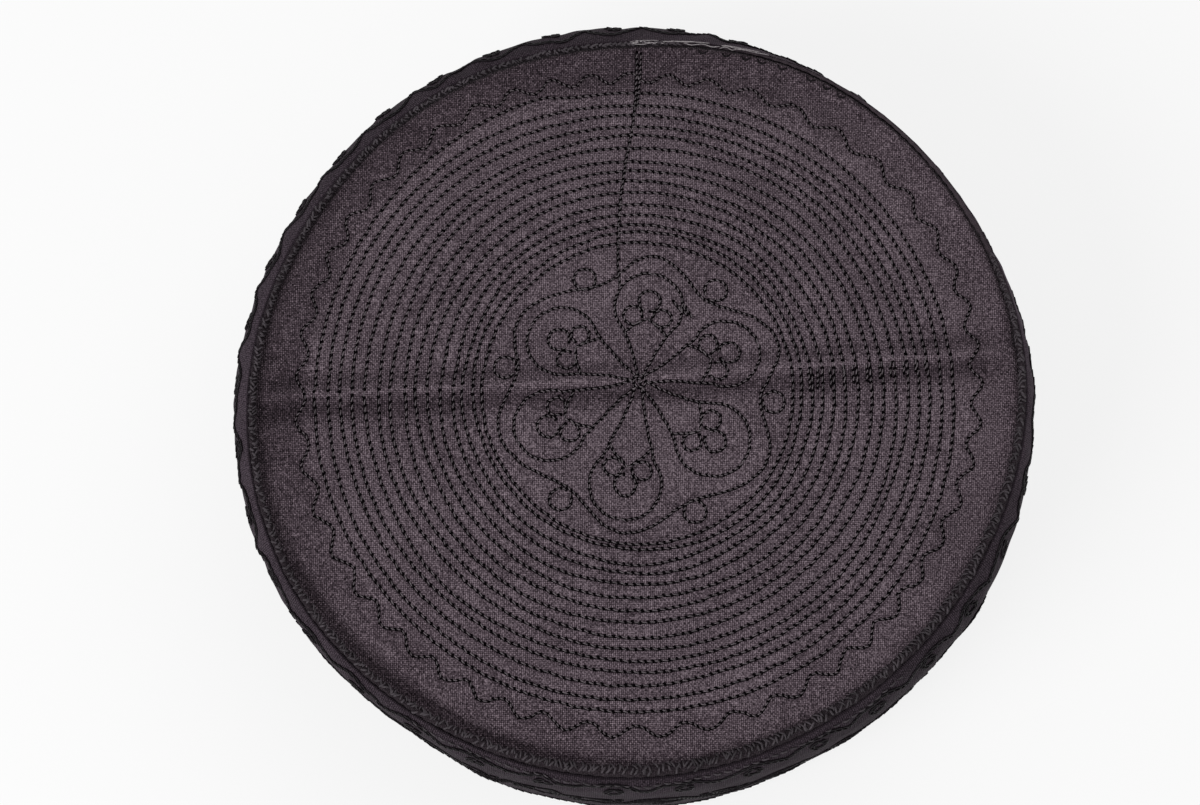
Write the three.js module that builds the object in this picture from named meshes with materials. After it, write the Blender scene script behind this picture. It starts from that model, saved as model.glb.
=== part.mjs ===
// Round skullcap of quilted cotton: a flat crown, a raised stitched welt around its edge, and an upright band.
// Millimetres, +Z up, standing on its hem. The front of the cap faces -Y.
import * as THREE from 'three';

const CAP_HEIGHT = 78;          // hem to the crest of the welt
const SEAM_RADIUS = 87.5;       // mean radius of the seam between crown and band
const CLOTH = 1.8;              // wall thickness of crown and band
const WELT_HALF = 1.5;          // half width of the welt at its fullest
const WELT_SIDES = 8;
const WELT_LEVEL = CAP_HEIGHT - WELT_HALF;
const HEM_FOLD = 3.2;           // thickness of the turned hem
const HEM_HEIGHT = 9;           // depth of the turned hem
const BAND_STEPS = 108;         // divisions around the cap
const CROWN_STEPS = 144;
const CREASE_WIDTH = 3.2;       // spread of the packing crease on the crown
const CREASE_HEIGHT = 1.2;
const CREASE_FADE = 6;          // length over which the crease dies out at the rim
const RIM_POWER = 4;            // how closely the crown's rise and fall keeps to its rim

// The band's outer face: height, reach beyond the seam, how far it follows the seam's own waver,
// how far it takes part in a drawn-in shoulder, and how far it closes up to a slimmer welt.
const BAND_COLUMNS = ['height', 'reach', 'follow', 'shoulder', 'close'];
const BAND_ROWS = [
  [0.0, 5.0, 0.0, 0.0, 0.0],
  [HEM_HEIGHT, 5.4, 0.0, 0.0, 0.0],
  [31.0, 6.2, 0.0, 0.0, 0.0],
  [47.0, 6.5, 0.05, 0.0, 0.0],
  [60.0, 6.2, 0.2, 0.0, 0.0],
  [67.5, 5.6, 0.45, 0.3, 0.0],
  [72.0, 4.7, 0.75, 1.0, 0.2],
  [74.4, 3.6, 0.95, 1.0, 0.7],
  [75.9, 1.95, 1.0, 0.2, 1.0],
];
const CLOSE_RISE = 1.2;         // rise of the band's edge for each millimetre the welt is slimmer
const CLOSE_INSIDE = 0.4;       // share of that closing taken by the band's inner face

// The crown's upper face: distance inside the seam, height over the welt's middle,
// and how far it closes up to and rises beside a slimmer welt.
const CROWN_COLUMNS = ['inset', 'level', 'close', 'rise'];
const CROWN_ROWS = [
  [SEAM_RADIUS, 0.3, 0.0, 0.0],
  [82.0, 0.3, 0.0, 0.0],
  [74.0, 0.3, 0.0, 0.0],
  [60.0, 0.2, 0.0, 0.0],
  [46.0, 0.1, 0.0, 0.0],
  [32.0, -0.1, 0.0, 0.0],
  [20.0, -0.4, 0.0, 0.0],
  [11.0, -0.8, 0.0, 0.15],
  [5.5, -1.25, 0.5, 0.7],
  [2.4, -1.15, 1.0, 1.75],
  [0.3, -1.95, 0.0, 2.0],
];

// Stations around the cap: how far the seam wanders out, how it rises, how the wall bulges,
// how far the shoulder is drawn in, and the welt's half width.
const STATION_COLUMNS = ['angle', 'seamOut', 'seamRise', 'wallOut', 'shoulderIn', 'weltHalf'];
const STATIONS = [
  [0, 3.4, -0.8, 0.6, 0.7, 0.9],
  [30, 2.2, -2.0, -2.6, 1.5, 0.7],
  [60, 0.5, -2.3, -1.8, 1.4, 0.5],
  [90, -4.1, -1.3, 0.8, 0.2, 0.5],
  [120, -4.2, -0.4, -0.7, 0.0, 0.6],
  [150, -3.5, 0.0, -1.5, 0.0, 0.85],
  [180, -0.4, 0.0, -0.3, 0.1, 1.0],
  [210, 2.4, -0.2, 0.6, 0.4, 1.0],
  [240, 2.8, 0.0, -0.5, 0.5, 1.1],
  [270, 2.6, -0.4, 0.6, 0.5, 1.5],
  [300, 1.6, -0.8, 0.8, 0.5, 1.35],
  [330, 1.8, -0.8, 2.6, 0.5, 1.2],
];

// Local folds and dents of the wall: where, how far out, and their spread in degrees.
const FOLD_COLUMNS = ['angle', 'out', 'spread'];
const FOLDS = [
  [5.0, 0.4, 5],
  [131.0, 0.8, 6],
  [181.5, 0.5, 5],
  [248.0, 0.8, 6],
  [319.0, -0.7, 7],
];

// The packing crease on the crown, from its left end over its middle to its right end.
const CREASE_COLUMNS = ['x', 'y'];
const CREASE = [
  [-86.0, -4.4],
  [1.9, -0.5],
  [90.0, 7.1],
];

const named = (columns, rows) => rows.map((row) => Object.fromEntries(columns.map((name, i) => [name, row[i]])));
const band = named(BAND_COLUMNS, BAND_ROWS);
const crown = named(CROWN_COLUMNS, CROWN_ROWS);
const stations = named(STATION_COLUMNS, STATIONS);
const folds = named(FOLD_COLUMNS, FOLDS);
const crease = named(CREASE_COLUMNS, CREASE);

// A column of the stations, carried smoothly around the full turn.
function around(column, degrees) {
  const count = stations.length;
  const along = (((degrees % 360) + 360) % 360) / (360 / count);
  const start = Math.floor(along);
  const f = along - start;
  const [a, b, c, d] = [-1, 0, 1, 2].map((k) => stations[(start + k + count) % count][column]);
  const square = 2 * a - 5 * b + 4 * c - d;
  const cube = -a + 3 * b - 3 * c + d;
  return 0.5 * (2 * b + (c - a) * f + square * f ** 2 + cube * f ** 3);
}

// How much slimmer the welt is here than at its fullest.
function slimmer(degrees) {
  return WELT_HALF - around('weltHalf', degrees);
}

function foldOut(degrees) {
  return folds.reduce((sum, fold) => {
    const off = ((((degrees - fold.angle) % 360) + 540) % 360) - 180;
    return sum + fold.out * Math.exp(-((off / fold.spread) ** 2));
  }, 0);
}

// Height of the crease above the crown at a point in plan.
function creaseHeight(x, y) {
  const [left, middle, right] = crease;
  const [from, to] = x < middle.x ? [left, middle] : [middle, right];
  const line = from.y + ((to.y - from.y) * (x - from.x)) / (to.x - from.x);
  const end = Math.min(x - left.x, right.x - x) / CREASE_FADE;
  const fade = THREE.MathUtils.smoothstep(end, 0, 1);
  return CREASE_HEIGHT * fade * Math.exp(-(((y - line) / CREASE_WIDTH) ** 2));
}

// A closed section turned about +Z. place(row, degrees) then gives each point's radius and its height in plan.
function revolve(section, steps, place) {
  const points = section.map(([radius, height]) => new THREE.Vector2(radius, height));
  const solid = new THREE.LatheGeometry(points, steps).rotateX(Math.PI / 2);
  const position = solid.getAttribute('position');
  for (let i = 0; i < position.count; i += 1) {
    const row = i % section.length;
    const turn = (Math.floor(i / section.length) / steps) * 2 * Math.PI - Math.PI / 2;
    const [radius, height] = place(row, THREE.MathUtils.radToDeg(turn));
    const x = radius * Math.cos(turn);
    const y = radius * Math.sin(turn);
    position.setXYZ(i, x, y, height(x, y));
  }
  solid.computeVertexNormals();
  return solid;
}

// The band: its outer face from hem to shoulder, and back down its inner face with the turned hem.
function makeBand() {
  const outer = band.map((row, i) => {
    const before = band[Math.max(i - 1, 0)];
    const after = band[Math.min(i + 1, band.length - 1)];
    const run = Math.hypot(after.reach - before.reach, after.height - before.height);
    const inward = [-(after.height - before.height) / run, (after.reach - before.reach) / run];
    return { ...row, inward, narrow: row.close };
  });
  const inner = outer.slice(1).map((row) => ({
    ...row,
    height: row.height + CLOTH * row.inward[1],
    reach: row.reach + CLOTH * row.inward[0],
    narrow: row.close * CLOSE_INSIDE,
  }));
  const hem = [
    { ...outer[1], reach: band[1].reach - HEM_FOLD },
    { ...outer[0], reach: band[0].reach - HEM_FOLD },
  ];
  const loop = [...outer, ...inner.reverse(), ...hem, outer[0]];
  const section = loop.map((row) => [SEAM_RADIUS + row.reach, row.height]);
  return revolve(section, BAND_STEPS, (i, degrees) => {
    const row = loop[i];
    const wall = around('wallOut', degrees) + foldOut(degrees);
    const drawn = around('shoulderIn', degrees) * row.shoulder + slimmer(degrees) * row.narrow;
    const out = wall * (1 - row.follow) + around('seamOut', degrees) * row.follow - drawn;
    const rise = around('seamRise', degrees) * row.follow + slimmer(degrees) * row.close * CLOSE_RISE;
    return [SEAM_RADIUS + row.reach + out, () => row.height + rise];
  });
}

// The welt: a cord along the seam, its crest at one height whatever its width.
function makeWelt() {
  const loop = [];
  for (let k = 0; k <= WELT_SIDES; k += 1) {
    const turn = (2 * Math.PI * k) / WELT_SIDES;
    loop.push([Math.cos(turn), Math.sin(turn)]);
  }
  const section = loop.map(([out, up]) => [SEAM_RADIUS + WELT_HALF * out, WELT_LEVEL + WELT_HALF * up]);
  return revolve(section, BAND_STEPS, (i, degrees) => {
    const [out, up] = loop[i];
    const half = around('weltHalf', degrees);
    const radius = SEAM_RADIUS + around('seamOut', degrees) + half * out;
    const height = WELT_LEVEL + slimmer(degrees) + around('seamRise', degrees) + half * up;
    return [radius, () => height];
  });
}

// The crown: its underside from the middle out, then its upper face back in to the middle.
function makeCrown() {
  const upper = crown.map((row) => ({ ...row, under: 0 }));
  const lower = crown.map((row) => ({ ...row, under: CLOTH }));
  const loop = [...lower, ...upper.reverse()];
  const section = loop.map((row) => [SEAM_RADIUS - row.inset, WELT_LEVEL + row.level - row.under]);
  return revolve(section, CROWN_STEPS, (i, degrees) => {
    const row = loop[i];
    const slim = slimmer(degrees);
    const radius = section[i][0] + row.close * slim;
    const share = radius / SEAM_RADIUS;
    const reach = radius + around('seamOut', degrees) * share;
    const sag = section[i][1] + row.rise * slim + around('seamRise', degrees) * share ** RIM_POWER;
    return [reach, (x, y) => sag + creaseHeight(x, y)];
  });
}

function piece(name, geometry, color, roughness) {
  const material = new THREE.MeshStandardMaterial({ color, roughness, metalness: 0 });
  const mesh = new THREE.Mesh(geometry, material);
  mesh.name = name;
  return mesh;
}

const cap = new THREE.Group();
cap.name = 'skullcap';
cap.add(piece('crown', makeCrown(), 0x3f383b, 0.85));
cap.add(piece('edge_welt', makeWelt(), 0x39343a, 0.75));
cap.add(piece('side_band', makeBand(), 0x3a363c, 0.6));

export default cap;
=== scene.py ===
import math

import bmesh
import bpy
import numpy as np
from mathutils import Matrix, Vector


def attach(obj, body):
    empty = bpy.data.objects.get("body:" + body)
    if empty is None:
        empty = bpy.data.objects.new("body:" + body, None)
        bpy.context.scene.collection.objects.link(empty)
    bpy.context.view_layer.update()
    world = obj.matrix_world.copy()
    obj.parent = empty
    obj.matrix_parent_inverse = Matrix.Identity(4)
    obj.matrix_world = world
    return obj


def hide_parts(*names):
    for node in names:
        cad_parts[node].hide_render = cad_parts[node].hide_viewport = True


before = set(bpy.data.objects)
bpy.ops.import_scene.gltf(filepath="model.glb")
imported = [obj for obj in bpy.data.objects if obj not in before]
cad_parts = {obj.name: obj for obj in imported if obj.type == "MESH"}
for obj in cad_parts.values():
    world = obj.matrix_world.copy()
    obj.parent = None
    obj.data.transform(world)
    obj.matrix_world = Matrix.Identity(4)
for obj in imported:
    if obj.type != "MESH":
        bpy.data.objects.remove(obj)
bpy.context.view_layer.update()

MM = 0.001

# Sizes of the cap, in millimetres

CAP_HEIGHT = 78.0
SEAM_RADIUS = 87.5
CLOTH = 1.8
WELT_HALF = 1.5
WELT_LEVEL = CAP_HEIGHT - WELT_HALF
HEM_FOLD = 3.2
HEM_HEIGHT = 9.0
CREASE_WIDTH = 3.2
CREASE_HEIGHT = 1.2
CREASE_FADE = 6.0
RIM_POWER = 4

BAND_ROWS = {
    "height": (0.0, HEM_HEIGHT, 31.0, 47.0, 60.0, 67.5, 72.0, 74.4, 75.9),
    "reach": (5.0, 5.4, 6.2, 6.5, 6.2, 5.6, 4.7, 3.6, 1.95),
    "follow": (0.0, 0.0, 0.0, 0.05, 0.2, 0.45, 0.75, 0.95, 1.0),
    "shoulder": (0.0, 0.0, 0.0, 0.0, 0.0, 0.3, 1.0, 1.0, 0.2),
    "close": (0.0, 0.0, 0.0, 0.0, 0.0, 0.0, 0.2, 0.7, 1.0),
}
CLOSE_RISE = 1.2
CLOSE_INSIDE = 0.4
CROWN_ROWS = {
    "inset": (0.3, 2.4, 5.5, 11.0, 20.0, 32.0, 46.0, 60.0, 74.0, SEAM_RADIUS),
    "level": (-1.95, -1.15, -1.25, -0.8, -0.4, -0.1, 0.1, 0.2, 0.3, 0.3),
    "close": (0.0, 1.0, 0.5, 0.0, 0.0, 0.0, 0.0, 0.0, 0.0, 0.0),
    "rise": (2.0, 1.75, 0.7, 0.15, 0.0, 0.0, 0.0, 0.0, 0.0, 0.0),
}
STATION_STEP = 30
STATIONS = {
    "seam_out": (3.4, 2.2, 0.5, -4.1, -4.2, -3.5, -0.4, 2.4, 2.8, 2.6, 1.6, 1.8),
    "seam_rise": (-0.8, -2.0, -2.3, -1.3, -0.4, 0.0, 0.0, -0.2, 0.0, -0.4, -0.8, -0.8),
    "wall_out": (0.6, -2.6, -1.8, 0.8, -0.7, -1.5, -0.3, 0.6, -0.5, 0.6, 0.8, 2.6),
    "shoulder_in": (0.7, 1.5, 1.4, 0.2, 0.0, 0.0, 0.1, 0.4, 0.5, 0.5, 0.5, 0.5),
    "welt_half": (0.9, 0.7, 0.5, 0.5, 0.6, 0.85, 1.0, 1.0, 1.1, 1.5, 1.35, 1.2),
    "gutter": (0.3, 0.1, 0.0, 0.1, 0.3, 0.3, 0.2, 0.9, 1.5, 0.4, 0.2, 0.3),
    "wave_out": (-0.3, 1.6, 1.0, -0.5, 0.8, 0.3, -0.3, -0.2, 0.3, -0.3, -1.3, -2.2),
    # How much painted shade darkens the crown's border at each station.
    "painted_rim_shade": (0.06, 0.06, 0.14, 0.2, 0.2, 0.18, 0.2, 0.12, 0.1, 0.06, 0.03, 0.04),
}
FOLDS = {
    "angle": (5.0, 131.0, 181.5, 248.0, 319.0),
    "out": (0.4, 0.8, 0.5, 0.8, -0.7),
    "spread": (5.0, 6.0, 5.0, 6.0, 7.0),
}
CREASE = {"x": (-86.0, 1.9, 90.0), "y": (-4.4, -0.5, 7.1)}
WRINKLES = {"angle": (176.0, 186.5, 1.5, 6.5), "deep": (0.7, 0.9, 0.6, 1.0)}
WRINKLE_SPREAD = 1.5
WRINKLE_LENGTH = 8.0

# The embroidery is sewn a little off the middle of the crown

SEWN_MIDDLE = np.array([1.9, -2.9])
ROSETTE_MIDDLE = SEWN_MIDDLE + np.array([0.3, 2.1])
RING_RADII = (
    36.0, 38.2, 40.4, 42.8, 45.5, 48.4, 51.1, 54.0,
    56.9, 59.9, 62.7, 65.3, 68.0, 71.0, 74.0,
)
RING_DRIFT = -0.8
RING_PITCH = 1.76
RING_THREAD = 0.17
RING_HOLE_SHADE = 0.46
FIGURE_PITCH = 1.35
FIGURE_THREAD = 0.16
FIGURE_HOLE_SHADE = 0.41
GROOVE_DEPTH = 0.26
GROOVE_SPREAD = 0.6
WAVE_COUNT = 49
WAVE_RADIUS = 78.6
WAVE_HEIGHT = 1.35
PETALS = {
    "angle": (23.4, 83.0, 146.5, 202.3, 262.0, 325.5),
    "reach": (22.1, 20.4, 21.2, 22.1, 22.4, 20.6),
    "lobe": (7.9, 8.0, 8.2, 8.3, 8.3, 8.7),
}
FRAME = {
    "angle": (18, 54, 86, 102, 153, 169, 196, 239, 262, 293, 331, 357),
    "reach": (34.3, 26.8, 32.5, 27.6, 32.2, 28.4, 33.6, 28.4, 33.6, 28.7, 33.8, 28.2),
}
LOOPS = {
    "angle": (53, 115, 170, 235, 294, 355),
    "reach": (30.2, 29.6, 31.4, 31.3, 31.3, 31.3),
}
LOOP_RADIUS = 2.6
BACK_ROWS = (
    ((1.9, 81.4), (1.2, 66.0), (-1.6, 48.0), (-2.8, 31.5), (-2.3, 22.0)),
    ((2.9, 81.2), (2.5, 74.0), (1.9, 67.0)),
)
BACK_COUNTS = (80, 24)
KNOT = ((10.2, 18.6), (12.4, 15.6), (11.2, 17.8), (13.4, 15.2), (12.0, 18.4), (14.6, 14.8))

# The band's ornament, with distances up from the hem

SCALLOPS = 37
SCALLOP_RUN = 70.2
SCALLOP_HEIGHT = 4.4
SCALLOP_SUNK = 4.0
RINGLET_RUN = 70.6
RINGLET_RADIUS = 1.9
VINES = 20
VINE_RUN = 46.0
VINE_HEIGHT = 9.5
VINE_HALF = 1.1
HEART_RADIUS = 2.8
HEM_ROW = 6.0
BAND_PITCH = 1.9
BAND_LOOP = 0.62
BAND_THREAD = 0.25

seed = np.random.default_rng(19)


# Lines and shapes

def around(column, degrees):
    values = np.array(STATIONS[column])
    count = len(values)
    along = np.mod(degrees, 360) / STATION_STEP
    start = np.floor(along).astype(int)
    f = along - start
    a, b, c, d = (values[(start + k) % count] for k in (-1, 0, 1, 2))
    square = 2 * a - 5 * b + 4 * c - d
    cube = -a + 3 * b - 3 * c + d
    return 0.5 * (2 * b + (c - a) * f + square * f**2 + cube * f**3)


def slimmer(degrees):
    """How much slimmer the welt is than at its fullest, so that the cloth beside it closes up to it."""
    return WELT_HALF - around("welt_half", degrees)


def flow(knots, values, at):
    """A smooth line through the knots."""
    knots = np.array(knots, float)
    values = np.array(values, float)
    slope = np.gradient(values, knots)
    i = np.clip(np.searchsorted(knots, at) - 1, 0, len(knots) - 2)
    width = knots[i + 1] - knots[i]
    t = (at - knots[i]) / width
    start = (2 * t**3 - 3 * t**2 + 1) * values[i] + (t**3 - 2 * t**2 + t) * width * slope[i]
    end = (3 * t**2 - 2 * t**3) * values[i + 1] + (t**3 - t**2) * width * slope[i + 1]
    return start + end


def turned(degrees, angle):
    """Signed angle from one direction to another."""
    return np.mod(degrees - angle + 180, 360) - 180


def bell(distance, spread):
    return np.exp(-((distance / spread) ** 2))


def eased(value):
    t = np.clip(value, 0, 1)
    return t * t * (3 - 2 * t)


def fold_out(degrees):
    rows = zip(FOLDS["angle"], FOLDS["out"], FOLDS["spread"])
    return sum(out * bell(turned(degrees, angle), spread) for angle, out, spread in rows)


def waver(degrees, waves, size):
    """A hand's unevenness around a ring: a few slow waves of seeded size and phase."""
    total = 0
    for wave in waves:
        total = total + seed.normal(0, 1) * np.sin(np.radians(degrees * wave) + seed.uniform(0, 7))
    return total * size / math.sqrt(len(waves))


def lumps(length, size, wrap=None, count=5):
    """Soft unevenness of padded cloth, as a height for any place. A wrap makes it repeat."""
    waves = []
    for _ in range(count):
        turn = seed.uniform(0, math.pi)
        step = 2 * math.pi / (length * seed.uniform(0.7, 1.4))
        along = step * math.cos(turn)
        if wrap:
            along = round(along * wrap / (2 * math.pi)) * 2 * math.pi / wrap
        waves.append((along, step * math.sin(turn), seed.uniform(0, 7)))

    def height(x, y):
        total = sum(np.sin(along * x + across * y + start) for along, across, start in waves)
        return total * size / math.sqrt(count)
    return height


def crease_line(x):
    return np.interp(x, CREASE["x"], CREASE["y"])


def crease_height(x, y):
    away = y - crease_line(x)
    end = np.minimum(x - CREASE["x"][0], CREASE["x"][2] - x) / CREASE_FADE
    crest = 0.4 * bell(away, CREASE_WIDTH) + 0.4 * np.exp(-np.abs(away) / 0.7)
    flank = 0.22 * bell(np.abs(away) - 5.0, 2.2)
    return CREASE_HEIGHT * eased(end) * (crest - flank)


# Stitch lines of the crown, in plan

def polar(radius, degrees, middle):
    turn = np.radians(degrees)
    return np.stack([middle[0] + radius * np.cos(turn), middle[1] + radius * np.sin(turn)], -1)


def ring_lines():
    degrees = np.linspace(0, 360, 721)
    lines = []
    for k, radius in enumerate(RING_RADII):
        reach = radius + waver(degrees, (1, 2, 3, 5, 8), 0.28)
        if k == 1:
            reach = reach - 0.8 * bell(turned(degrees, 242), 60)
        if k == len(RING_RADII) - 1:
            past = np.mod(degrees - 101, 360)
            reach = reach + 1.7 * eased(past / 6) * (1 - eased(past / 65))
        elif k > len(RING_RADII) - 5:
            reach = reach + 0.8 * bell(turned(degrees, 145), 35)
        drift = RING_DRIFT * (radius / RING_RADII[-1]) ** 3
        lines.append(polar(reach, degrees, SEWN_MIDDLE + np.array([drift, 0.0])))
    return lines


def crease_lines():
    """Short second rows beside the rings, where the crease has pushed them together at the right."""
    lines = []
    for k, radius in enumerate(RING_RADII[2:-2]):
        top = crease_line(SEWN_MIDDLE[0] + radius) - SEWN_MIDDLE[1] - 0.6
        length = np.interp(radius, (40, 66), (5.2, 2.6))
        degrees = np.degrees(np.linspace(top - length, top, 12) / radius)
        lines.append(polar(radius - (0.7, 1.15, 0.9)[k % 3], degrees, SEWN_MIDDLE))
    return lines


def wave_line():
    degrees = np.linspace(0, 360, 2881)
    phase = np.radians(degrees * WAVE_COUNT) + waver(degrees, (2, 3, 5, 7), 0.9)
    height = WAVE_HEIGHT + waver(degrees, (4, 7, 11), 0.2)
    reach = WAVE_RADIUS + around("wave_out", degrees) + waver(degrees, (2, 5), 0.3)
    return polar(reach + height * np.sin(phase), degrees, SEWN_MIDDLE)


def arc(middle, radius, start, stop, count=40):
    return polar(radius, np.linspace(start, stop, count), middle)


def through(points, count=24):
    """A smooth line through a few points."""
    points = np.array(points, float)
    step = np.arange(len(points))
    at = np.linspace(0, len(points) - 1, count)
    return np.stack([flow(step, points[:, 0], at), flow(step, points[:, 1], at)], -1)


def petal_lines(angle, reach, lobe):
    """One petal: a wedge from the middle, a round lobe, and a trefoil of loops inside it."""
    bulb = polar(reach, angle, SEWN_MIDDLE)
    run = bulb - ROSETTE_MIDDLE
    length = np.hypot(*run)
    out = run / length
    side = np.array([-out[1], out[0]])
    facing = math.degrees(math.atan2(out[1], out[0]))
    heart = ROSETTE_MIDDLE + out * length * 0.84
    lines = []
    for hand in (-1, 1):
        shoulder = ROSETTE_MIDDLE + out * length * 0.63 + side * hand * 4.9
        start = ROSETTE_MIDDLE + out * 1.2 + side * hand * 0.7
        bow = ROSETTE_MIDDLE + out * length * 0.32 + side * hand * 2.2
        lines.append(through([start, bow, shoulder]))
        lines.append(through([shoulder, shoulder * 0.5 + heart * 0.5 + side * hand * 0.5, heart], 16))
        ear = heart + side * hand * 3.4 + out * 0.3
        lines.append(arc(ear, 2.2, facing - hand * 90, facing - hand * 90 + hand * 330))
        edge = math.degrees(math.atan2(*(shoulder - bulb)[::-1]))
        swing = turned(facing - edge, 0)
        lines.append(np.vstack([shoulder[None], arc(bulb, lobe, edge + swing * 0.1, edge + swing)]))
    tip = heart + out * 4.2
    lines.append(arc(tip, 2.5, facing + 195, facing + 525))
    return lines


def frame_line():
    angles = np.array(FRAME["angle"], float)
    reach = np.array(FRAME["reach"], float)
    degrees = np.linspace(18, 378, 721)
    knots = np.concatenate([angles - 360, angles, angles + 360])
    return polar(flow(knots, np.tile(reach, 3), degrees), degrees, SEWN_MIDDLE)


def figure_lines():
    lines = [wave_line(), frame_line()]
    for row in zip(PETALS["angle"], PETALS["reach"], PETALS["lobe"]):
        lines.extend(petal_lines(*row))
    for angle, reach in zip(LOOPS["angle"], LOOPS["reach"]):
        lines.append(arc(polar(reach, angle, SEWN_MIDDLE), LOOP_RADIUS, angle + 180, angle + 520))
    lines.append(arc(ROSETTE_MIDDLE, 1.5, 0, 350, 20))
    lines.append(arc(ROSETTE_MIDDLE, 0.6, 40, 380, 12))
    for row, count in zip(BACK_ROWS, BACK_COUNTS):
        lines.append(through(row, count))
    lines.append(through(KNOT, 40))
    return lines


# Meshes

def make_piece(name, points, faces, material, closed=True):
    mesh = bpy.data.meshes.new(name)
    mesh.from_pydata((np.asarray(points) * MM).tolist(), [], [list(f) for f in faces])
    if closed:
        whole = bmesh.new()
        whole.from_mesh(mesh)
        bmesh.ops.recalc_face_normals(whole, faces=whole.faces)
        whole.to_mesh(mesh)
        whole.free()
    mesh.polygons.foreach_set("use_smooth", [True] * len(mesh.polygons))
    mesh.materials.append(material)
    piece = bpy.data.objects.new(name, mesh)
    bpy.context.scene.collection.objects.link(piece)
    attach(piece, "root")
    return piece


def put_values(piece, name, values, kind="FLOAT"):
    layer = piece.data.attributes.new(name, kind, "POINT")
    field = "value" if kind == "FLOAT" else "vector"
    layer.data.foreach_set(field, np.asarray(values, np.float32).ravel())


def lattice(rows, columns, wrap_rows=False, wrap_columns=False, first=0):
    """Quads of a grid of points laid row by row."""
    i = np.arange(rows if wrap_rows else rows - 1)[:, None]
    j = np.arange(columns if wrap_columns else columns - 1)[None]
    down = (i + 1) % rows
    across = (j + 1) % columns
    corners = [i * columns + j, i * columns + across, down * columns + across, down * columns + j]
    return np.stack([np.broadcast_to(c, (i.size, j.size)) for c in corners], -1).reshape(-1, 4) + first


# The crown's upper face: a square grid spread over the disc

CROWN_GRID = 281
CROWN_SHARE = 1 - CROWN_ROWS["inset"][0] / SEAM_RADIUS
CELL = 0.3
FIELD_HALF = 93.0


def disc_grid():
    line = np.linspace(-1, 1, CROWN_GRID)
    a, b = np.meshgrid(line, line, indexing="ij")
    wide = np.abs(a) >= np.abs(b)
    safe_a = np.where(a == 0, 1, a)
    safe_b = np.where(b == 0, 1, b)
    radius = np.where(wide, a, b)
    turn = np.where(wide, math.pi / 4 * b / safe_a, math.pi / 2 - math.pi / 4 * a / safe_b)
    return radius * np.cos(turn), radius * np.sin(turn)


def disc_place(x, y):
    """Where a point of the unit disc lies on the square grid, from 0 to 1 each way."""
    radius = np.hypot(x, y)
    turn = np.degrees(np.arctan2(y, x))
    quarter = np.round(turn / 90).astype(int)
    lean = radius * (turn - 90 * quarter) / 45
    quarter = quarter % 4
    a = np.select([quarter == 0, quarter == 1, quarter == 2], [radius, -lean, -radius], lean)
    b = np.select([quarter == 0, quarter == 1, quarter == 2], [lean, radius, -lean], -radius)
    return (a + 1) / 2, (b + 1) / 2


def sample(field, a, b):
    """Field values between grid points, for a and b from 0 to 1."""
    top = field.shape[0] - 1
    u = np.clip(a, 0, 1) * top
    v = np.clip(b, 0, 1) * top
    i = np.minimum(u.astype(int), top - 1)
    j = np.minimum(v.astype(int), top - 1)
    f = u - i
    g = v - j
    near = field[i, j] * (1 - g) + field[i, j + 1] * g
    far = field[i + 1, j] * (1 - g) + field[i + 1, j + 1] * g
    return near * (1 - f) + far * f


def sewn_field(lines, spread):
    """How tightly the cloth is drawn down at each place in plan, from 0 to 1."""
    count = int(2 * FIELD_HALF / CELL)
    field = np.zeros((count, count))
    points = np.vstack([even(line, CELL) for line in lines])
    place = (points + FIELD_HALF) / CELL
    cell = np.floor(place).astype(int)
    reach = int(2.2 * spread / CELL)
    for dx in range(-reach, reach + 1):
        for dy in range(-reach, reach + 1):
            at = cell + (dx, dy)
            away = np.hypot(*(at + 0.5 - place).T) * CELL
            ok = ((at >= 0) & (at < count)).all(1)
            np.maximum.at(field, (at[ok, 0], at[ok, 1]), bell(away[ok], spread))
    return field


def even(line, pitch):
    """Points at an even pitch along a line."""
    length = np.concatenate([[0], np.cumsum(np.hypot(*np.diff(line, axis=0).T))])
    count = max(int(round(length[-1] / pitch)), 2)
    at = np.linspace(0, length[-1], count + 1)
    return np.stack([np.interp(at, length, line[:, k]) for k in (0, 1)], -1)


def crown_shape(x, y):
    """Height of the crown's upper face, closed up to the welt in a few steps where that is slim."""
    degrees = np.degrees(np.arctan2(y, x))
    share = np.hypot(x, y) / (SEAM_RADIUS + around("seam_out", degrees))
    inset = SEAM_RADIUS * (1 - share)
    slim = slimmer(degrees)
    row = inset
    for _ in range(4):
        row = inset + slim * flow(CROWN_ROWS["inset"], CROWN_ROWS["close"], row)
    level = flow(CROWN_ROWS["inset"], CROWN_ROWS["level"], row)
    level = level + slim * flow(CROWN_ROWS["inset"], CROWN_ROWS["rise"], row)
    gather = np.sin(np.radians(degrees * 83) + 2 * np.sin(np.radians(degrees * 7)))
    gather = 0.09 * gather * np.exp(-inset / 3.5)
    dent = around("gutter", degrees) * bell(inset - 2.6, 1.9)
    for angle, deep in zip(WRINKLES["angle"], WRINKLES["deep"]):
        across = turned(degrees, angle) * share
        dent = dent + deep * bell(across, WRINKLE_SPREAD) * np.exp(-inset / WRINKLE_LENGTH)
    rise = around("seam_rise", degrees) * share**RIM_POWER
    return WELT_LEVEL + level + rise + gather - dent + crease_height(x, y)


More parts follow.
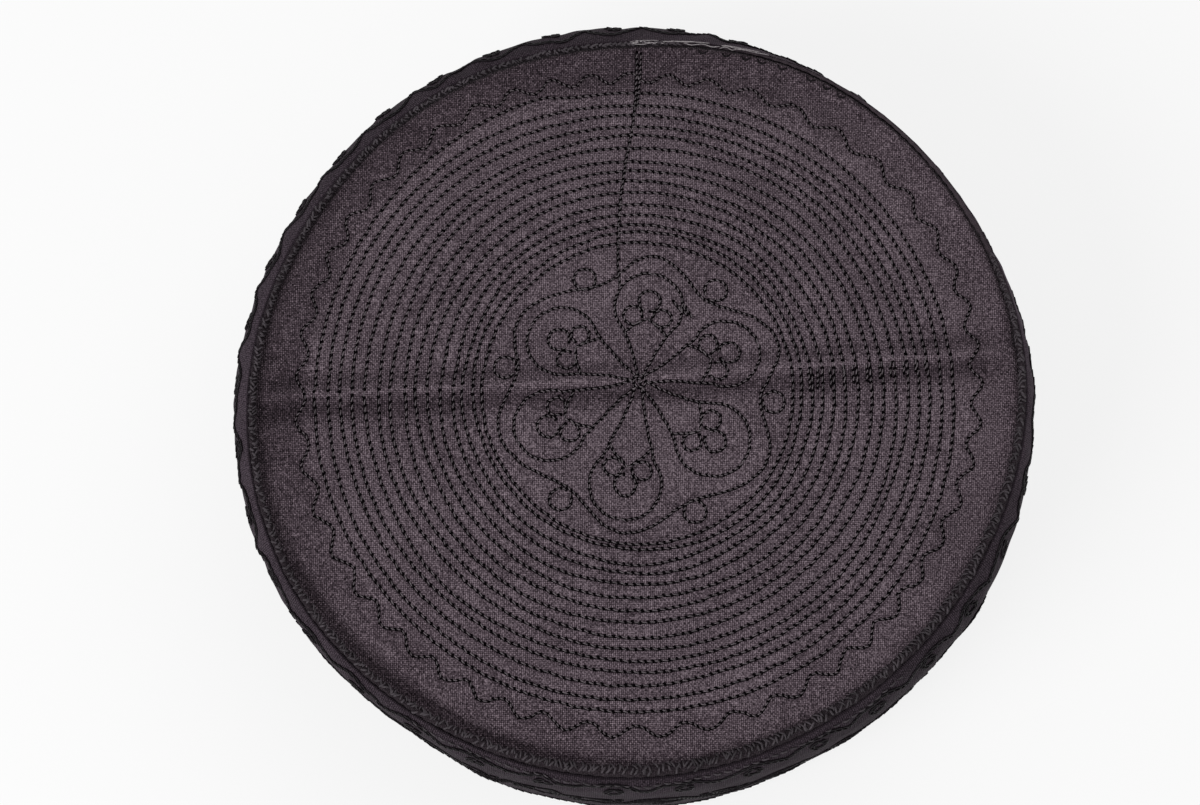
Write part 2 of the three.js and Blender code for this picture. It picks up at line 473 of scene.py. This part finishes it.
RINGS = ring_lines()
FIGURES = figure_lines() + crease_lines()
SEWN = sewn_field(RINGS + FIGURES, GROOVE_SPREAD)
disc_x, disc_y = disc_grid()
disc_degrees = np.degrees(np.arctan2(disc_y, disc_x))
disc_reach = (SEAM_RADIUS + around("seam_out", disc_degrees)) * CROWN_SHARE
crown_x = disc_x * disc_reach
crown_y = disc_y * disc_reach
field_place = [(line + FIELD_HALF) / (2 * FIELD_HALF) for line in (crown_x, crown_y)]
crown_sewn = sample(SEWN, *field_place)
crown_z = crown_shape(crown_x, crown_y) - GROOVE_DEPTH * crown_sewn
crown_z = crown_z + lumps(9, 0.05)(crown_x, crown_y) + lumps(26, 0.10)(crown_x, crown_y)


def crown_painted_light():
    """Painted light and shade on the crown: a painted highlight along the crease's crest, painted shade on
    its flanks, and painted shade along its border, in the gutter and along the sewn grooves.
    """
    away = crown_y - crease_line(crown_x)
    inset = SEAM_RADIUS * (1 - CROWN_SHARE * np.hypot(disc_x, disc_y))
    # A painted highlight on the crease's crest and painted shade on its flanks, as light falls across the
    # fold.
    crest = 0.16 * np.exp(-np.abs(away) / 0.5)
    flanks = 0.24 * bell(away + 3.4, 2.4) + 0.14 * bell(away - 3.2, 1.8)
    crease = (crest - flanks) * eased((89 - np.abs(crown_x)) / 8)
    # Painted shade along the crown's border, stronger at some angles.
    border = around("painted_rim_shade", disc_degrees) * eased((14 - inset) / 5)
    # Painted shadow just inside the welt, deepest where the gutter is.
    gutter = 0.14 * around("gutter", disc_degrees) * bell(inset - 2.0, 1.8)
    # The sewn rows also get painted shade in their grooves.
    return crease - 0.06 * crown_sewn - border - gutter


def crown_surface(line):
    """Points and upward directions of the crown's upper face at places in plan."""
    def height(x, y):
        degrees = np.degrees(np.arctan2(y, x))
        reach = (SEAM_RADIUS + around("seam_out", degrees)) * CROWN_SHARE
        return sample(crown_z, *disc_place(x / reach, y / reach))
    x, y = line.T
    step = 0.5
    dx = (height(x + step, y) - height(x - step, y)) / (2 * step)
    dy = (height(x, y + step) - height(x, y - step)) / (2 * step)
    up = np.stack([-dx, -dy, np.ones_like(dx)], -1)
    return np.stack([x, y, height(x, y)], -1), up / np.linalg.norm(up, axis=1)[:, None]


# The band's outer face, by angle and by distance up from the hem

BAND_ROUND = math.radians(1) * 94.0
band_rows = {name: np.array(values) for name, values in BAND_ROWS.items()}
band_steps = np.hypot(np.diff(band_rows["height"]), np.diff(band_rows["reach"]))
band_run = np.concatenate([[0], np.cumsum(band_steps)])
BAND_LENGTH = band_run[-1]


def band_place(degrees, run, out=0.0):
    """A point of the band's outer face, moved out of it by a distance."""
    values = {name: flow(band_run, band_rows[name], run) for name in band_rows}
    ahead = {name: flow(band_run, band_rows[name], run + 0.2) for name in band_rows}
    rise = ahead["height"] - values["height"]
    lean = ahead["reach"] - values["reach"]
    slant = np.hypot(rise, lean)
    wall = around("wall_out", degrees) + fold_out(degrees)
    follow = values["follow"]
    reach = values["reach"] + out * rise / slant
    height = values["height"] - out * lean / slant
    slim = slimmer(degrees) * values["close"]
    drawn = around("shoulder_in", degrees) * values["shoulder"]
    drawn = drawn + slim * np.where(np.asarray(out) < -1, CLOSE_INSIDE, 1.0)
    radius = SEAM_RADIUS + reach + wall * (1 - follow) + around("seam_out", degrees) * follow - drawn
    turn = np.radians(degrees)
    height = height + around("seam_rise", degrees) * follow + slim * CLOSE_RISE
    return np.stack([radius * np.cos(turn), radius * np.sin(turn), height + 0 * turn], -1)


def place_directions(place, u, v, step):
    """Outward directions of a surface given by two measures."""
    across = place(u + step, v) - place(u - step, v)
    along = place(u, v + step) - place(u, v - step)
    out = np.cross(across, along)
    return out / np.linalg.norm(out, axis=-1)[..., None]


# Thread

def sideways(start, end, up):
    side = np.cross(up, end - start)
    return side / np.linalg.norm(side, axis=1)[:, None]


def stitch_ends(lines, surface, pitch, slip):
    """Starts and ends of the stitches along lines, with a hand's small slips, and the way up at each."""
    starts = []
    ends = []
    for line in lines:
        holes = even(line, pitch)
        holes = holes + seed.normal(0, slip, holes.shape)
        starts.append(holes[:-1])
        ends.append(holes[1:])
    start, up = surface(np.vstack(starts))
    return start, surface(np.vstack(ends))[0], up


def chain(lines, surface, pitch, half_width, thread):
    """Chain stitches along lines in cloth measures: closed loops of thread."""
    start, end, up = stitch_ends(lines, surface, pitch, 0.07)
    run = end - start
    side = sideways(start, end, up)
    turn = np.arange(8) * 2 * math.pi / 8
    along = (1 - np.cos(turn)) / 2
    wide = np.sin(turn) * (0.62 + 0.38 * along) * half_width
    lean = seed.normal(0, 0.10, len(start)) * half_width
    width = seed.uniform(0.85, 1.15, len(start))
    lift = thread * (0.1 + 0.8 * along)
    loop = start[:, None] + run[:, None] * (along * 1.16 - 0.10)[None, :, None]
    aside = wide[None] * width[:, None] + lean[:, None] * along[None]
    loop = loop + side[:, None] * aside[..., None]
    loop = loop + up[:, None] * lift[None, :, None]
    return tubes(loop, up, thread, closed=True)


def running(lines, surface, pitch, thread):
    """Plain stitches along lines in cloth measures: short runs of thread, with their needle holes."""
    start, end, up = stitch_ends(lines, surface, pitch, 0.08)
    run = end - start
    side = sideways(start, end, up)
    share = np.array([0.0, 0.2, 0.5, 0.8, 1.0])
    slant = (0.5 - share)[None] * seed.uniform(0.16, 0.44, (len(start), 1))
    arch = 0.06 + np.sin(math.pi * share)[None] * seed.uniform(0.16, 0.28, (len(start), 1))
    path = start[:, None] + run[:, None] * (0.2 + 0.74 * share)[None, :, None]
    path = path + side[:, None] * slant[..., None] + up[:, None] * arch[..., None]
    points, faces = tubes(path, up, thread, closed=False)
    return points, faces, start, end, up


def tubes(paths, up, thread, closed, sides=4):
    """Round threads along paths of equal count."""
    count, steps = paths.shape[:2]
    if closed:
        run = np.roll(paths, -1, 1) - np.roll(paths, 1, 1)
    else:
        run = np.gradient(paths, axis=1)
    run = run / np.linalg.norm(run, axis=2)[..., None]
    across = np.cross(run, up[:, None])
    across = across / np.linalg.norm(across, axis=2)[..., None]
    over = np.cross(across, run)
    turn = (np.arange(sides) + 0.5) * 2 * math.pi / sides
    ring = across[:, :, None] * np.cos(turn)[:, None] + over[:, :, None] * np.sin(turn)[:, None]
    taper = np.ones(steps) if closed else np.array([0.55] + [1.0] * (steps - 2) + [0.55])
    points = paths[:, :, None] + ring * (thread * taper)[None, :, None, None]
    one = lattice(steps, sides, wrap_rows=closed, wrap_columns=True)
    faces = (one[None] + (np.arange(count) * steps * sides)[:, None, None]).reshape(-1, 4).tolist()
    if not closed:
        ends = [list(range(sides))[::-1], list(range((steps - 1) * sides, steps * sides))]
        for k in range(count):
            faces.extend([[k * steps * sides + i for i in end] for end in ends])
    return points.reshape(-1, 3), faces


def painted_needle_shadows(start, end, up, radius):
    """Painted shade where the needle went through: flat near-black patches laid just over the cloth, each
    with a thin painted shadow beside the thread.
    """
    run = end - start
    side = sideways(start, end, up)
    ahead = run / np.linalg.norm(run, axis=1)[:, None]
    turn = np.arange(8) * math.pi / 4
    size = radius * seed.uniform(0.75, 1.25, (len(start), 8, 1))
    ring = ahead[:, None] * np.cos(turn)[:, None] + side[:, None] * np.sin(turn)[:, None]
    ring = start[:, None] + ring * size
    near = start + ahead * radius * 0.5
    far = start + run * 0.9
    # The tail is a painted shadow of the lifted thread.
    tail = np.stack([near - side * 0.36, near - side * 0.08, far - side * 0.3, far - side * 0.14], 1)
    points = np.concatenate([ring, start[:, None], tail], 1) + up[:, None] * 0.16
    one = np.array([[k, (k + 1) % 8, 8] for k in range(8)] + [[9, 11, 10], [10, 11, 12]])
    faces = (one[None] + (np.arange(len(start)) * 13)[:, None, None]).reshape(-1, 3)
    return points.reshape(-1, 3), faces


# Shader values

class Shade:
    """A value of a finish, with sums written as plain expressions."""

    def __init__(self, tree, socket=None):
        self.tree = tree
        self.socket = socket

    def node(self, kind, settings=None, sockets=None, out=0):
        made = self.tree.nodes.new(kind)
        for name, value in (settings or {}).items():
            if name == "stops":
                self.set_stops(made.color_ramp, value)
            else:
                setattr(made, name, value)
        for name, value in (sockets or {}).items():
            if isinstance(value, Shade):
                self.tree.links.new(value.socket, made.inputs[name])
            else:
                made.inputs[name].default_value = value
        return Shade(self.tree, made.outputs[out] if made.outputs else None)

    @staticmethod
    def set_stops(ramp, stops):
        while len(ramp.elements) < len(stops):
            ramp.elements.new(0.5)
        for element, (place, colour) in zip(ramp.elements, stops):
            element.position = place
            element.color = colour

    def math(self, operation, *values):
        return self.node("ShaderNodeMath", {"operation": operation}, dict(enumerate(values)))

    def __add__(self, other):
        return self.math("ADD", self, other)

    def __radd__(self, other):
        return self.math("ADD", other, self)

    def __sub__(self, other):
        return self.math("SUBTRACT", self, other)

    def __rsub__(self, other):
        return self.math("SUBTRACT", other, self)

    def __mul__(self, other):
        return self.math("MULTIPLY", self, other)

    def __rmul__(self, other):
        return self.math("MULTIPLY", other, self)

    def __truediv__(self, other):
        return self.math("DIVIDE", self, other)

    def __pow__(self, other):
        return self.math("POWER", self, other)

    def __abs__(self):
        return self.math("ABSOLUTE", self)

    def sine(self):
        return self.math("SINE", self)

    def stretched(self, factors):
        return self.node("ShaderNodeVectorMath", {"operation": "MULTIPLY"}, {0: self, 1: factors})

    def part(self, axis):
        return self.node("ShaderNodeSeparateXYZ", None, {0: self}, out="XYZ".index(axis))

    def noise(self, scale, detail=2.0, rough=0.5):
        sockets = {"Vector": self, "Scale": scale, "Detail": detail, "Roughness": rough}
        return self.node("ShaderNodeTexNoise", None, sockets)


def finish_of(name):
    material = bpy.data.materials.new(name)
    material.use_nodes = True
    tree = material.node_tree
    tree.nodes.clear()
    return material, Shade(tree)


def end_finish(start, sockets):
    surface = start.node("ShaderNodeBsdfPrincipled", None, sockets)
    start.node("ShaderNodeOutputMaterial", None, {"Surface": surface})


def rgb(red, green, blue):
    """A colour from its values on a screen, 0 to 255."""
    def linear(value):
        v = value / 255
        return v / 12.92 if v <= 0.04045 else ((v + 0.055) / 1.055) ** 2.4
    return (linear(red), linear(green), linear(blue), 1.0)


def woven_cloth(name, dark, mid, light, pitch, rough, sheen, depth):
    """Plain-weave cotton: threads over and under, slubs and patches, made lighter or darker by a per-point
    value that carries painted light and shade.
    """
    material, start = finish_of(name)
    cloth = start.node("ShaderNodeAttribute", {"attribute_name": "cloth_mm"}, out=1)
    # A per-point value that lightens or darkens the cloth: on the crown it is all painted light and shade.
    worn = start.node("ShaderNodeAttribute", {"attribute_name": "worn"}, out=2)
    across = cloth.part("X") * (math.pi / pitch)
    along = cloth.part("Y") * (math.pi / pitch)
    weave = across.sine() * along.sine()
    threads = abs(across.sine()) * 0.6 + abs(along.sine()) * 0.4
    warp = cloth.stretched((3.6, 1.3, 1.0)).noise(1.0, 2.0, 0.6)
    weft = cloth.stretched((1.3, 3.6, 1.0)).noise(1.0, 2.0, 0.6)
    slub = warp + weft - 1.0
    patch = cloth.noise(0.07, 3.0, 0.6)
    grain = weave * 0.12 + threads * 0.7 + slub * 1.4 + 0.06
    tone = grain + (patch - 0.5) * 0.3 + worn
    ramp = {"stops": [(0.0, dark), (0.5, mid), (1.0, light)]}
    colour = start.node("ShaderNodeValToRGB", ramp, {"Fac": tone})
    height = weave * 0.5 + threads * 0.35 + slub * 0.6
    bump = start.node("ShaderNodeBump", None, {"Strength": depth, "Distance": 0.00016, "Height": height})
    end_finish(start, {
        "Base Color": colour,
        "Roughness": rough,
        "Sheen Weight": sheen,
        "Sheen Roughness": 0.5,
        "Specular IOR Level": 0.06,
        "Normal": bump,
    })
    return material


def spun_thread(name, dark, light, rough, gloss):
    """Mercerised thread: darker and lighter plies and a soft gloss."""
    material, start = finish_of(name)
    place = start.node("ShaderNodeTexCoord", out=3)
    ply = place.noise(2600.0, 2.0)
    length = place.noise(160.0, 2.0)
    tone = ply * 0.6 + length * 0.6 - 0.1
    colour = start.node("ShaderNodeValToRGB", {"stops": [(0.25, dark), (0.85, light)]}, {"Fac": tone})
    bump = start.node("ShaderNodeBump", None, {"Strength": 0.5, "Distance": 0.0001, "Height": ply})
    end_finish(start, {
        "Base Color": colour,
        "Roughness": rough,
        "Specular IOR Level": gloss,
        "Normal": bump,
    })
    return material


# Near-black finish for the painted shade of needle holes and the thread's painted shadows.
def painted_hole_shade(name):
    material, start = finish_of(name)
    place = start.node("ShaderNodeTexCoord", out=3)
    fray = place.noise(900.0)
    ramp = {"stops": [(0.3, rgb(3, 2, 3)), (0.8, rgb(14, 11, 13))]}
    colour = start.node("ShaderNodeValToRGB", ramp, {"Fac": fray})
    end_finish(start, {"Base Color": colour, "Roughness": 1.0, "Specular IOR Level": 0.0})
    return material


crown_finish = woven_cloth(
    "crown_cotton", rgb(22, 16, 20), rgb(73, 62, 69), rgb(140, 126, 134), 0.44, 0.9, 0.05, 0.9
)
band_finish = woven_cloth(
    "band_cotton", rgb(13, 10, 12), rgb(41, 34, 40), rgb(79, 69, 77), 0.5, 0.85, 0.0, 0.5
)
welt_finish = woven_cloth(
    "welt_cotton", rgb(14, 11, 13), rgb(40, 34, 38), rgb(66, 58, 63), 0.4, 0.9, 0.0, 0.6
)
thread_finish = spun_thread("sewing_thread", rgb(30, 25, 28), rgb(116, 105, 111), 0.42, 0.5)
black_finish = spun_thread("embroidery_thread", rgb(8, 6, 8), rgb(29, 23, 28), 0.6, 0.08)
pale_finish = spun_thread("edge_thread", rgb(22, 18, 21), rgb(88, 80, 86), 0.6, 0.25)
lint_finish = spun_thread("frayed_thread", rgb(110, 102, 106), rgb(190, 184, 186), 0.8, 0.1)
painted_shade_finish = painted_hole_shade("painted_needle_shade")


# The crown

def make_crown():
    top = np.stack([crown_x, crown_y, crown_z], -1).reshape(-1, 3)
    faces = lattice(CROWN_GRID, CROWN_GRID).tolist()
    index = np.arange(CROWN_GRID * CROWN_GRID).reshape(CROWN_GRID, CROWN_GRID)
    rim = np.concatenate([index[:-1, 0], index[-1, :-1], index[:0:-1, -1], index[0, :0:-1]])
    shares = np.array([1.0, 0.985, 0.94, 0.86, 0.74, 0.6, 0.45, 0.3, 0.15, 0.05])
    x = top[rim, 0][None] * shares[:, None]
    y = top[rim, 1][None] * shares[:, None]
    z = crown_shape(x, y) - CLOTH
    under = np.stack([x, y, z], -1).reshape(-1, 3)
    middle = np.array([[0.0, 0.0, float(crown_shape(np.zeros(1), np.zeros(1))[0]) - CLOTH]])
    first = len(top)
    count = len(rim)
    after = np.roll(rim, -1)
    low = first + np.arange(count)
    faces.extend(np.stack([rim, low, np.roll(low, -1), after], -1).tolist())
    faces.extend(lattice(len(shares), count, wrap_columns=True, first=first).tolist())
    last = first + (len(shares) - 1) * count + np.arange(count)
    hub = np.full(count, first + len(under))
    faces.extend(np.stack([last, hub, np.roll(last, -1)], -1).tolist())
    points = np.vstack([top, under, middle])
    piece = make_piece("crown_cloth", points, faces, crown_finish)
    put_values(piece, "cloth_mm", points, "FLOAT_VECTOR")
    put_values(piece, "worn", np.concatenate([crown_painted_light().ravel(), np.zeros(len(under) + 1)]))
    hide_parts("crown")
    return piece


crown = make_crown()


def sew(name, sewing, material):
    points, faces, *holes = sewing
    piece = make_piece(name, points, faces, material)
    return piece, holes


ring_piece, ring_hole_shade = sew(
    "ring_stitches", running(RINGS, crown_surface, RING_PITCH, RING_THREAD), thread_finish
)
figure_piece, figure_hole_shade = sew(
    "figure_stitches", running(FIGURES, crown_surface, FIGURE_PITCH, FIGURE_THREAD), thread_finish,
)
# Painted shade patches at the needle holes of the rings and figures.
for hole_name, hole_places, hole_radius in (
    ("ring_hole_shade", ring_hole_shade, RING_HOLE_SHADE), ("figure_hole_shade", figure_hole_shade, FIGURE_HOLE_SHADE)
):
    shade_patches = painted_needle_shadows(*hole_places, hole_radius)
    hole_piece = make_piece(hole_name, *shade_patches, painted_shade_finish, closed=False)


# The band

BAND_STEPS = 720


def band_scroll():
    """Lines sewn on the band, in millimetres around it and up it."""
    turn = 360 * BAND_ROUND
    u = np.linspace(0, turn, 2400)
    lines = []
    sway = waver(u / BAND_ROUND, (3, 7, 11), 0.5)
    phase = u / turn * SCALLOPS * math.pi
    arch = np.abs(np.sin(phase + 0.4 * sway)) ** 0.7
    sunk = SCALLOP_SUNK * bell(turned(u / BAND_ROUND, 34), 42)
    lines.append(np.stack([u, SCALLOP_RUN + sway - sunk + SCALLOP_HEIGHT * arch], -1))
    for k in range(SCALLOPS):
        at = turn * (k + 0.5) / SCALLOPS
        lines.append(arc((at, RINGLET_RUN - np.interp(at, u, sunk)), RINGLET_RADIUS, 90, 430, 24))
    phase = u / turn * VINES * 2 * math.pi
    for shift in (-VINE_HALF, VINE_HALF):
        lines.append(np.stack([u, VINE_RUN + VINE_HEIGHT * np.sin(phase) + shift], -1))
    for k in range(VINES * 2):
        at = turn * (k + 0.5) / (VINES * 2)
        hand = 1 if k % 2 == 0 else -1
        heart = np.array([at, VINE_RUN - hand * 5.0])
        lines.append(arc(heart, HEART_RADIUS, 90 * hand, 90 * hand + 345))
        for lean in (-1, 1):
            start = heart + (0.0, hand * HEART_RADIUS)
            over = heart + (lean * 3.8, hand * 3.6)
            down = heart + (lean * 5.4, hand * 0.8)
            lines.append(through([start, over, down, heart + (lean * 4.2, -hand * 1.4)], 20))
    lines.append(np.stack([u, HEM_ROW + 0 * u], -1))
    return lines


BAND_LINES = band_scroll()
band_soft = lumps(11, 0.14, 360 * BAND_ROUND)
band_full = lumps(8, 0.22, 360 * BAND_ROUND)


def band_lump(degrees, run):
    """How far the padded wall swells out, fuller near the welt and none at its edges."""
    around_mm = degrees * BAND_ROUND
    swell = band_soft(around_mm, run) + eased((run - 60) / 14) * band_full(around_mm, run)
    return swell * np.clip(run / 6, 0, 1) * np.clip((BAND_LENGTH - run) / 2, 0, 1)


def make_band():
    degrees = np.arange(BAND_STEPS) * 360 / BAND_STEPS
    run = np.concatenate([np.linspace(0, 58, 24)[:-1], np.linspace(58, BAND_LENGTH, 34)])
    d, r = np.meshgrid(degrees, run)
    outer = band_place(d, r, band_lump(d, r))
    down = np.array([BAND_LENGTH, 76, 72, 66, 58, 44, 28, 14, 9.6, HEM_HEIGHT])
    inset = np.array([CLOTH] * (len(down) - 1) + [HEM_FOLD])
    di, ri = np.meshgrid(degrees, np.concatenate([down, [4.0, 0.0]]))
    deep = np.broadcast_to(np.concatenate([inset, [HEM_FOLD] * 2])[:, None], di.shape)
    inner = band_place(di, ri, -deep)
    inner[-1, :, 2] = 0
    outer[0, :, 2] = 0
    points = np.concatenate([outer, inner]).reshape(-1, 3)
    rows = len(run) + len(inner)
    faces = lattice(rows, BAND_STEPS, wrap_rows=True, wrap_columns=True)
    piece = make_piece("band_cloth", points, faces, band_finish)
    u = np.concatenate([d * BAND_ROUND, di * BAND_ROUND]).ravel()
    v = np.concatenate([r, ri + 200]).ravel()
    put_values(piece, "cloth_mm", np.stack([u, v, 0 * u], -1), "FLOAT_VECTOR")
    # The top of the band is lighter at the back right and at the left; at the left it is a painted
    # highlight where light catches the shoulder.
    edge = (0.45 * bell(turned(d, 30), 42) + 0.2 * bell(turned(d, 185), 45)) * eased((r - 66) / 6)
    put_values(piece, "worn", np.concatenate([edge.ravel(), np.zeros(inner.size // 3)]))
    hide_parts("side_band")
    return piece


def band_surface(line):
    degrees = line[:, 0] / BAND_ROUND
    run = line[:, 1]
    up = place_directions(band_place, degrees, run, 0.3)
    return band_place(degrees, run, band_lump(degrees, run)), up


band = make_band()
scroll = chain(BAND_LINES, band_surface, BAND_PITCH, BAND_LOOP, BAND_THREAD)
scroll_piece = sew("band_stitches", scroll, black_finish)[0]


# The welt and its over-stitching

def welt_place(degrees, turn, out=0.0):
    slim = slimmer(degrees)
    half = WELT_HALF - slim + out
    radius = SEAM_RADIUS + around("seam_out", degrees) + half * np.cos(np.radians(turn))
    height = WELT_LEVEL + slim + around("seam_rise", degrees) + half * np.sin(np.radians(turn))
    way = np.radians(degrees)
    return np.stack([radius * np.cos(way), radius * np.sin(way), height + 0 * way], -1)


def make_welt():
    degrees = np.arange(900) * 0.4
    turn = np.arange(16) * 22.5
    d, t = np.meshgrid(degrees, turn)
    knobs = 0.10 * np.sin(np.radians(d * 230)) + lumps(7, 0.10, 360 * BAND_ROUND)(d * BAND_ROUND, t / 20)
    points = welt_place(d, t, knobs - 0.25).reshape(-1, 3)
    faces = lattice(len(turn), len(degrees), wrap_rows=True, wrap_columns=True)
    piece = make_piece("welt_cloth", points, faces, welt_finish)
    u = (d * BAND_ROUND).ravel()
    v = (t * math.radians(WELT_HALF)).ravel()
    put_values(piece, "cloth_mm", np.stack([u, v, 0 * u], -1), "FLOAT_VECTOR")
    # The welt is lighter at the back right, where it rolls over the edge.
    put_values(piece, "worn", (0.6 * bell(turned(d, 45), 35)).ravel())
    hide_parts("edge_welt")


def over_stitches(name, span, pitch, first, last, lean, thread, material):
    """A row of uneven slanting stitches over one side of the welt, between two directions."""
    count = int((span[1] - span[0]) * BAND_ROUND / pitch)
    at = np.linspace(*span, count, endpoint=False) + seed.normal(0, 0.22, count)
    share = np.linspace(0, 1, 6)
    slant = lean * seed.uniform(-0.3, 1.5, (count, 1))
    degrees = at[:, None] + slant * (share[None] - 0.5)
    reach = seed.uniform(0.75, 1.15, (count, 1))
    turn = first + (last - first) * share[None] * reach + seed.normal(0, 14, (count, 1))
    lift = -0.12 + 0.26 * np.sin(math.pi * share[None]) * seed.uniform(0.6, 1.4, (count, 1))
    paths = welt_place(degrees, turn + 0 * degrees, lift)
    middle = np.full(count, (first + last) / 2)
    up = welt_place(at, middle, 1.0) - welt_place(at, middle)
    piece = make_piece(name, *tubes(paths, up, thread, closed=False), material)


def edge_dashes():
    """Pale running stitches on the band just outside the welt, at the front."""
    u = np.arange(238, 312, 0.2) * BAND_ROUND
    line = np.stack([u, BAND_LENGTH - 1.9 + 0.4 * np.sin(u / 9)], -1)
    points, faces, *_ = running([line], band_surface, 2.3, 0.2)
    make_piece("edge_dashes", points, faces, pale_finish)


def frayed_threads():
    """Loose pale fibres along the seam at the back."""
    count = 16
    at = seed.uniform(70, 90, count)
    share = np.linspace(-0.5, 0.5, 14)
    degrees = at[:, None] + share[None] * seed.uniform(2.0, 6.0, (count, 1))
    bow = np.sin(share[None] * seed.uniform(5, 11, (count, 1)) + seed.uniform(0, 6, (count, 1)))
    turn = 75 + seed.uniform(-40, 40, (count, 1)) + 18 * bow
    paths = welt_place(degrees, turn, 0.25 + 0.1 * bow)
    up = np.tile([0.0, 0.0, 1.0], (count, 1))
    piece = make_piece("frayed_threads", *tubes(paths, up, 0.09, closed=False), lint_finish)


def seam_tacks():
    """Short dark curved stitches that hold the turned edge of the crown at the back."""
    at = np.arange(54, 78, 3.4)
    at = at + seed.normal(0, 0.5, len(at))
    share = np.linspace(-1, 1, 7)
    degrees = at[:, None] + 0.75 * share[None]
    reach = SEAM_RADIUS + around("seam_out", degrees) - 1.1 - 0.9 * (1 - share[None] ** 2)
    plan = polar(reach, degrees, np.zeros(2)).reshape(-1, 2)
    path, up = crown_surface(plan)
    paths = path.reshape(*degrees.shape, 3) + np.array([0.0, 0.0, 0.12])
    points, faces = tubes(paths, up.reshape(*degrees.shape, 3)[:, 3], 0.26, closed=False)
    make_piece("seam_tacks", points, faces, black_finish)


WELT_SEWN = (82, 380)
make_welt()
over_stitches("welt_inner_stitches", WELT_SEWN, 1.2, 170, 85, 0.8, 0.22, pale_finish)
over_stitches("welt_crest_stitches", WELT_SEWN, 1.3, 120, 60, -0.8, 0.3, pale_finish)
edge_dashes()
frayed_threads()
seam_tacks()


# Floor, light and camera

PICTURE = (1200.0, 805.0)
SEWN_SHOWN = (638.5, 391.0)


def make_floor():
    material, start = finish_of("pale_floor")
    end_finish(start, {
        "Base Color": (0.2, 0.2, 0.2, 1.0),
        "Roughness": 0.9,
        "Specular IOR Level": 0.0,
        "Emission Color": (1.0, 1.0, 1.0, 1.0),
        "Emission Strength": 0.77,
    })
    half = 3000.0
    corners = [(-half, -half, -0.1), (half, -half, -0.1), (half, half, -0.1), (-half, half, -0.1)]
    mesh = bpy.data.meshes.new("floor")
    mesh.from_pydata((np.array(corners) * MM).tolist(), [], [(0, 1, 2, 3)])
    mesh.materials.append(material)
    floor = bpy.data.objects.new("floor", mesh)
    bpy.context.scene.collection.objects.link(floor)


def soft_light(name, place, aim, size, watts):
    lamp = bpy.data.lights.new(name, "AREA")
    lamp.shape = "DISK"
    lamp.size = size
    lamp.energy = watts
    holder = bpy.data.objects.new(name, lamp)
    holder.location = place
    holder.rotation_euler = (Vector(aim) - Vector(place)).to_track_quat("-Z", "Y").to_euler()
    bpy.context.scene.collection.objects.link(holder)


def make_light():
    world = bpy.data.worlds.new("studio")
    bpy.context.scene.world = world
    world.use_nodes = True
    tree = world.node_tree
    tree.nodes.clear()
    start = Shade(tree)
    sky = start.node("ShaderNodeBackground", None, {"Color": (1.0, 1.0, 1.0, 1.0), "Strength": 0.5})
    start.node("ShaderNodeOutputWorld", None, {"Surface": sky})
    soft_light("key", (-0.9, -0.75, 1.1), (0, 0, 0.05), 0.8, 13.0)
    soft_light("fill", (0.5, 0.6, 1.5), (0, 0, 0.05), 1.4, 6.0)


def make_camera():
    """The camera leans a little from straight above, with the embroidery right of the picture's middle."""
    wide, high = PICTURE
    lean = math.radians(14.0)
    across_px = 2200.0
    distance = 509.5
    right = Vector((1, 0, 0))
    up = Vector((0, math.cos(lean), math.sin(lean)))
    back = Vector((0, -math.sin(lean), math.cos(lean)))
    target = Vector((SEWN_MIDDLE[0], SEWN_MIDDLE[1], WELT_LEVEL - 0.5))
    beside = (SEWN_SHOWN[0] - wide / 2) * distance / across_px
    above = (high / 2 - SEWN_SHOWN[1]) * distance / across_px
    eye = target - right * beside - up * above + back * distance
    lens = bpy.data.cameras.new("camera")
    lens.sensor_width = 36.0
    lens.lens = lens.sensor_width * across_px / wide
    lens.clip_start = 0.01
    camera = bpy.data.objects.new("camera", lens)
    turn = Matrix((right, up, back)).transposed().to_4x4()
    camera.matrix_world = Matrix.Translation(eye * MM) @ turn
    bpy.context.scene.collection.objects.link(camera)
    bpy.context.scene.camera = camera


make_floor()
make_light()
make_camera()
bpy.context.scene.view_settings.view_transform = "Standard"
